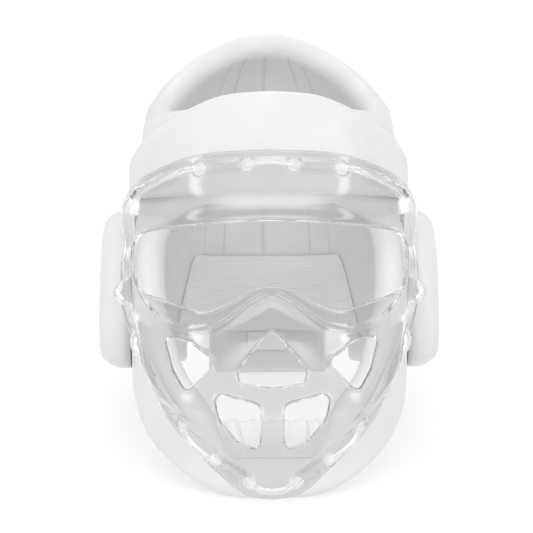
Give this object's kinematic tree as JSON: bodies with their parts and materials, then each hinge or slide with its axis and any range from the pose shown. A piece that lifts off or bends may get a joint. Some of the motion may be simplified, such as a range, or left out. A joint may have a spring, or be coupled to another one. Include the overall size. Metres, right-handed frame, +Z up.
{
  "type": "karate headgear with face shield",
  "caption": "Padded white karate headgear with an open crown, thick ear pads and a clear moulded face shield that a clear tube laces to its front.",
  "frame": {"origin": "middle of the bounding box at the floor it stands on, under the chin bar and the neck flap", "axes": "+Z up, -Y out of the face, +X towards the wearer's left"},
  "size_m": [0.222, 0.2792, 0.2334],
  "materials": {
    "dipped_foam": "satin vinyl skin over foam",
    "clear_shield": "clear, polished",
    "clear_lace": "clear, smooth",
    "ribbed_elastic": "ribbed knit",
    "label_satin": "satin ribbon"
  },
  "bodies": {
    "root": {"headguard_shell": "dipped_foam", "forehead_band": "dipped_foam", "ear_guard_left": "dipped_foam", "ear_guard_right": "dipped_foam", "chin_pad": "dipped_foam", "rear_elastic": "ribbed_elastic", "neck_flap": "dipped_foam", "size_label": "label_satin", "face_shield": "clear_shield", "shield_lace": "clear_lace"}
  },
  "joints": []
}
